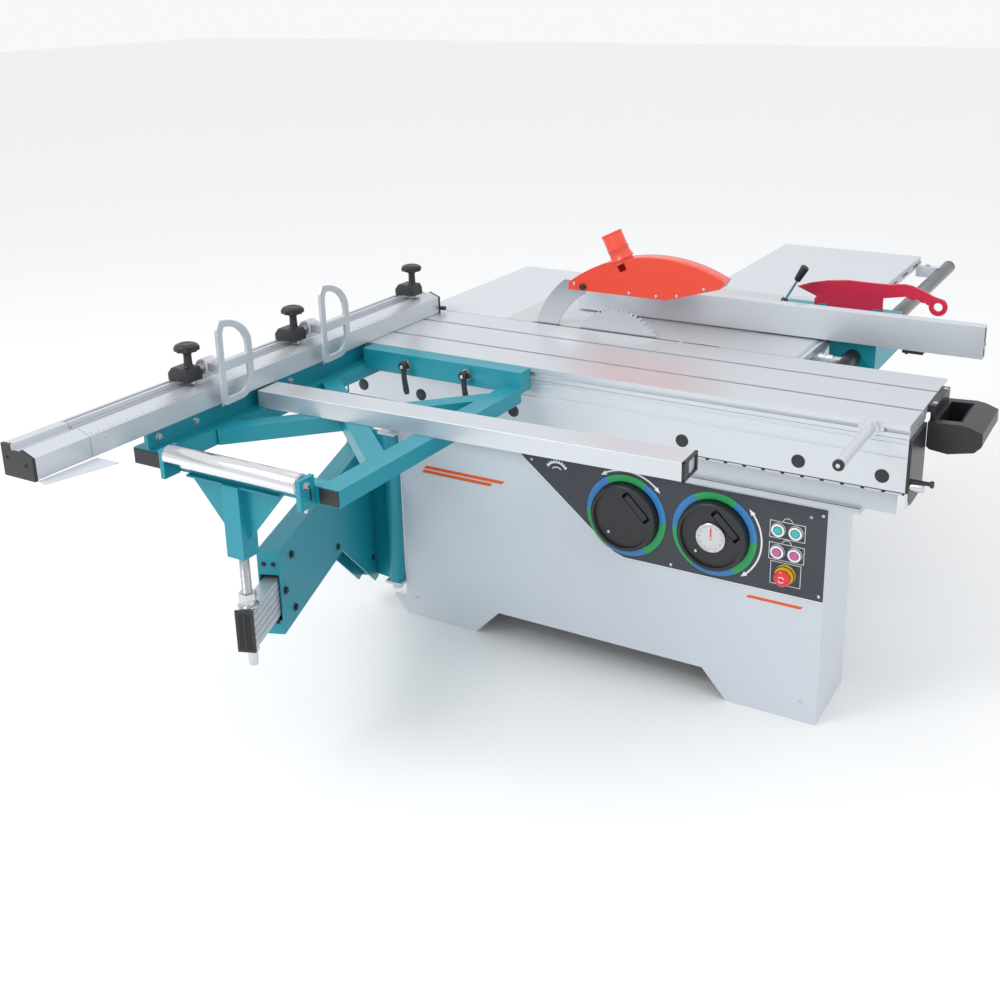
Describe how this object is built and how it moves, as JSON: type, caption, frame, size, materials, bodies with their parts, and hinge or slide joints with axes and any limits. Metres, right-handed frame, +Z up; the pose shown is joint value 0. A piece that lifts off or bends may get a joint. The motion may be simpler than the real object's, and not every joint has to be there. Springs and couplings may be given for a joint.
{
  "type": "panel saw",
  "caption": "Sliding-table panel saw with tilting arbor, scoring blade, outrigger crosscut fence, rip fence and overhead blade guard.",
  "frame": {"origin": "on the floor at the centre of the four anchor holes, directly below the saw blade's plane", "axes": "+X along the sliding table towards the operator's end, +Y from the sliding table to the rip side, +Z up"},
  "size_m": [1.7711, 3.009, 1.1777],
  "materials": {
    "cabinet_paint": "satin",
    "panel_dark": "satin",
    "cast_table": "ground",
    "sheet_table": "satin",
    "anodised": "satin",
    "dark_plate": "satin",
    "dark_chrome": "polished",
    "cast_iron_dark": "painted",
    "motor_paint": "satin",
    "belt_rubber": "matt",
    "blade_steel": "brushed",
    "guard_orange": "gloss",
    "black_plastic": "satin",
    "dial_white": "matt",
    "button_teal": "gloss",
    "button_magenta": "gloss",
    "button_red": "gloss",
    "teal_paint": "satin",
    "chrome": "polished",
    "stick_red": "gloss"
  },
  "bodies": {
    "base": {"cabinet": "cabinet_paint", "control_panel": "panel_dark", "main_table": "cast_table", "extension_tables": "sheet_table", "fence_scale_rail": "anodised", "guide_beam": "anodised", "skirt_plate": "dark_plate", "fence_rail": "dark_chrome", "table_brackets": "cabinet_paint", "trunnions": "cast_iron_dark", "hinge_brackets": "cabinet_paint", "electric_box": "panel_dark"},
    "door": {"service_door": "cabinet_paint"},
    "tilt_unit": {"tilt_frame": "cast_iron_dark", "scoring_motor": "motor_paint"},
    "lift_unit": {"arbor_housing": "cast_iron_dark", "main_motor": "motor_paint", "main_belt": "belt_rubber", "riving_knife": "blade_steel", "blade_guard": "guard_orange"},
    "spindle": {"main_spindle": "blade_steel", "saw_blade": "blade_steel"},
    "motor_shaft": {"motor_pulley": "blade_steel"},
    "scoring": {"scoring_blade": "blade_steel"},
    "lift_wheel": {"lift_wheel": "black_plastic"},
    "lift_crank": {"lift_crank": "black_plastic"},
    "tilt_wheel": {"tilt_wheel": "black_plastic"},
    "tilt_crank": {"tilt_crank": "black_plastic"},
    "dial": {"tilt_dial": "dial_white"},
    "start_button": {"start_button": "button_teal"},
    "scoring_start_button": {"scoring_start_button": "button_teal"},
    "stop_button": {"stop_button": "button_magenta"},
    "scoring_stop_button": {"scoring_stop_button": "button_magenta"},
    "emergency_stop": {"emergency_stop": "button_red"},
    "table": {"sliding_table": "anodised", "push_handle": "black_plastic", "rod_handle": "anodised", "outrigger_frame": "teal_paint", "outrigger_post": "teal_paint", "support_bar": "anodised"},
    "roller": {"roller": "chrome"},
    "clamp_lever_1": {"clamp_lever_1": "black_plastic"},
    "clamp_lever_2": {"clamp_lever_2": "black_plastic"},
    "crosscut": {"crosscut_fence": "anodised"},
    "fence_extension": {"fence_extension": "anodised"},
    "stop_1": {"stop_block_1": "black_plastic"},
    "stop_2": {"stop_block_2": "black_plastic"},
    "stop_3": {"stop_block_3": "black_plastic"},
    "stop_knob_1": {"stop_knob_1": "black_plastic"},
    "stop_knob_2": {"stop_knob_2": "black_plastic"},
    "stop_knob_3": {"stop_knob_3": "black_plastic"},
    "flip_1": {"flip_stop_1": "anodised"},
    "flip_2": {"flip_stop_2": "anodised"},
    "arm": {"swing_arm": "teal_paint"},
    "arm_tube": {"arm_extension": "anodised"},
    "rip_carriage": {"rip_carriage": "teal_paint"},
    "rip_fence": {"rip_fence": "anodised"},
    "rip_lever": {"rip_lever": "black_plastic"},
    "push_stick": {"push_stick": "stick_red"},
    "latch": {"beam_latch": "chrome"}
  },
  "joints": [
    {"name": "table_slide", "type": "slide", "parent": "base", "child": "table", "axis": [1, 0, 0], "range_m": [-0.4, 0.6]},
    {"name": "arm_swing", "type": "hinge", "parent": "base", "child": "arm", "pos_m": [-0.668, -0.35, 0.35], "axis": [0, 0, 1], "range_deg": [-45, 45]},
    {"name": "arm_telescope", "type": "slide", "parent": "arm", "child": "arm_tube", "axis": [0.3502, -0.9367, 0], "range_m": [-0.085, 0.125]},
    {"name": "tilt", "type": "hinge", "parent": "base", "child": "tilt_unit", "pos_m": [0, 0, 0.874], "axis": [1, 0, 0], "range_deg": [-45, 0]},
    {"name": "lift", "type": "slide", "parent": "tilt_unit", "child": "lift_unit", "axis": [0, 0, 1], "range_m": [-0.08, 0]},
    {"name": "blade_spin", "type": "hinge", "parent": "lift_unit", "child": "spindle", "pos_m": [-0.098, 0, 0.796], "axis": [0, 1, 0], "continuous": true},
    {"name": "motor_spin", "type": "hinge", "parent": "lift_unit", "child": "motor_shaft", "pos_m": [-0.098, 0, 0.6], "axis": [0, 1, 0], "continuous": true},
    {"name": "scoring_spin", "type": "hinge", "parent": "tilt_unit", "child": "scoring", "pos_m": [0.165, 0, 0.817], "axis": [0, 1, 0], "continuous": true},
    {"name": "lift_wheel_turn", "type": "hinge", "parent": "base", "child": "lift_wheel", "pos_m": [0.098, -0.36, 0.481], "axis": [0, 1, 0], "range_deg": [-2900, 400]},
    {"name": "tilt_wheel_turn", "type": "hinge", "parent": "base", "child": "tilt_wheel", "pos_m": [0.349, -0.36, 0.481], "axis": [0, 1, 0], "range_deg": [-4000, 10]},
    {"name": "lift_crank_fold", "type": "hinge", "parent": "lift_wheel", "child": "lift_crank", "pos_m": [0.15952, -0.3635, 0.49444], "axis": [0.7071, 0, 0.7071], "range_deg": [0, 90]},
    {"name": "tilt_crank_fold", "type": "hinge", "parent": "tilt_wheel", "child": "tilt_crank", "pos_m": [0.41052, -0.3635, 0.49444], "axis": [0.7071, 0, 0.7071], "range_deg": [0, 90]},
    {"name": "dial_turn", "type": "hinge", "parent": "tilt_wheel", "child": "dial", "pos_m": [0.349, -0.37, 0.481], "axis": [0, 1, 0], "range_deg": [-10, 3300]},
    {"name": "service_door_swing", "type": "hinge", "parent": "base", "child": "door", "pos_m": [0.445, 0.3625, 0.375], "axis": [0, 0, 1], "range_deg": [-100, 0]},
    {"name": "roller_spin", "type": "hinge", "parent": "table", "child": "roller", "pos_m": [-0.429, -1.24, 0.84], "axis": [1, 0, 0], "continuous": true},
    {"name": "clamp_lever_1_turn", "type": "hinge", "parent": "table", "child": "clamp_lever_1", "pos_m": [-0.523, -0.45, 0.844], "axis": [0, 1, 0], "range_deg": [-90, 0]},
    {"name": "clamp_lever_2_turn", "type": "hinge", "parent": "table", "child": "clamp_lever_2", "pos_m": [-0.328, -0.45, 0.844], "axis": [0, 1, 0], "range_deg": [-90, 0]},
    {"name": "crosscut_angle", "type": "hinge", "parent": "table", "child": "crosscut", "pos_m": [-0.731, -0.09, 0.875], "axis": [0, 0, 1], "range_deg": [-0.5, 30]},
    {"name": "fence_extend", "type": "slide", "parent": "crosscut", "child": "fence_extension", "axis": [0, -1, 0], "range_m": [0, 0.5]},
    {"name": "stop_1_slide", "type": "slide", "parent": "crosscut", "child": "stop_1", "axis": [0, 1, 0], "range_m": [-0.1, 0.15]},
    {"name": "stop_knob_1_turn", "type": "hinge", "parent": "stop_1", "child": "stop_knob_1", "pos_m": [-0.726, -1.052, 0.99], "axis": [0, 0, 1], "range_deg": [-180, 180]},
    {"name": "stop_2_slide", "type": "slide", "parent": "crosscut", "child": "stop_2", "axis": [0, 1, 0], "range_m": [-0.15, 0.15]},
    {"name": "stop_knob_2_turn", "type": "hinge", "parent": "stop_2", "child": "stop_knob_2", "pos_m": [-0.726, -0.667, 0.99], "axis": [0, 0, 1], "range_deg": [-180, 180]},
    {"name": "stop_3_slide", "type": "slide", "parent": "crosscut", "child": "stop_3", "axis": [0, 1, 0], "range_m": [-0.15, 0.03]},
    {"name": "stop_knob_3_turn", "type": "hinge", "parent": "stop_3", "child": "stop_knob_3", "pos_m": [-0.726, -0.122, 0.99], "axis": [0, 0, 1], "range_deg": [-180, 180]},
    {"name": "flip_stop_1_flip", "type": "hinge", "parent": "stop_1", "child": "flip_1", "pos_m": [-0.72, -0.998, 0.97], "axis": [0, 1, 0], "range_deg": [-90, 0]},
    {"name": "flip_stop_2_flip", "type": "hinge", "parent": "stop_2", "child": "flip_2", "pos_m": [-0.72, -0.613, 0.97], "axis": [0, 1, 0], "range_deg": [-90, 0]},
    {"name": "start_button_press", "type": "slide", "parent": "base", "child": "start_button", "axis": [0, 1, 0], "range_m": [0, 0.003], "stiffness_N_per_m": 200},
    {"name": "scoring_start_button_press", "type": "slide", "parent": "base", "child": "scoring_start_button", "axis": [0, 1, 0], "range_m": [0, 0.003], "stiffness_N_per_m": 200},
    {"name": "stop_button_press", "type": "slide", "parent": "base", "child": "stop_button", "axis": [0, 1, 0], "range_m": [0, 0.003], "stiffness_N_per_m": 200},
    {"name": "scoring_stop_button_press", "type": "slide", "parent": "base", "child": "scoring_stop_button", "axis": [0, 1, 0], "range_m": [0, 0.003], "stiffness_N_per_m": 200},
    {"name": "emergency_stop_press", "type": "slide", "parent": "base", "child": "emergency_stop", "axis": [0, 1, 0], "range_m": [0, 0.005], "stiffness_N_per_m": 400},
    {"name": "rip_carriage_slide", "type": "slide", "parent": "base", "child": "rip_carriage", "axis": [0, 1, 0], "range_m": [-0.02, 0.75]},
    {"name": "rip_fence_slide", "type": "slide", "parent": "rip_carriage", "child": "rip_fence", "axis": [1, 0, 0], "range_m": [-0.2, 0.25]},
    {"name": "rip_lever_turn", "type": "hinge", "parent": "rip_carriage", "child": "rip_lever", "pos_m": [0.265, 0.395, 0.92], "axis": [0, 0, 1], "range_deg": [-40, 90]},
    {"name": "push_stick_lift", "type": "slide", "parent": "rip_carriage", "child": "push_stick", "axis": [0, 0, 1], "range_m": [0, 0.25]},
    {"name": "latch_turn", "type": "hinge", "parent": "base", "child": "latch", "pos_m": [0.85, -0.385, 0.724], "axis": [1, 0, 0], "range_deg": [0, 90]}
  ],
  "couplings": [
    {"joint": "arm_swing", "follows": "table_slide", "rad_per_m": 1},
    {"joint": "arm_telescope", "follows": "table_slide", "ratio": 0.2},
    {"joint": "motor_spin", "follows": "blade_spin", "ratio": 0.711},
    {"joint": "lift_wheel_turn", "follows": "lift", "rad_per_m": 628.3},
    {"joint": "tilt_wheel_turn", "follows": "tilt", "ratio": 72},
    {"joint": "dial_turn", "follows": "tilt", "ratio": -71}
  ]
}
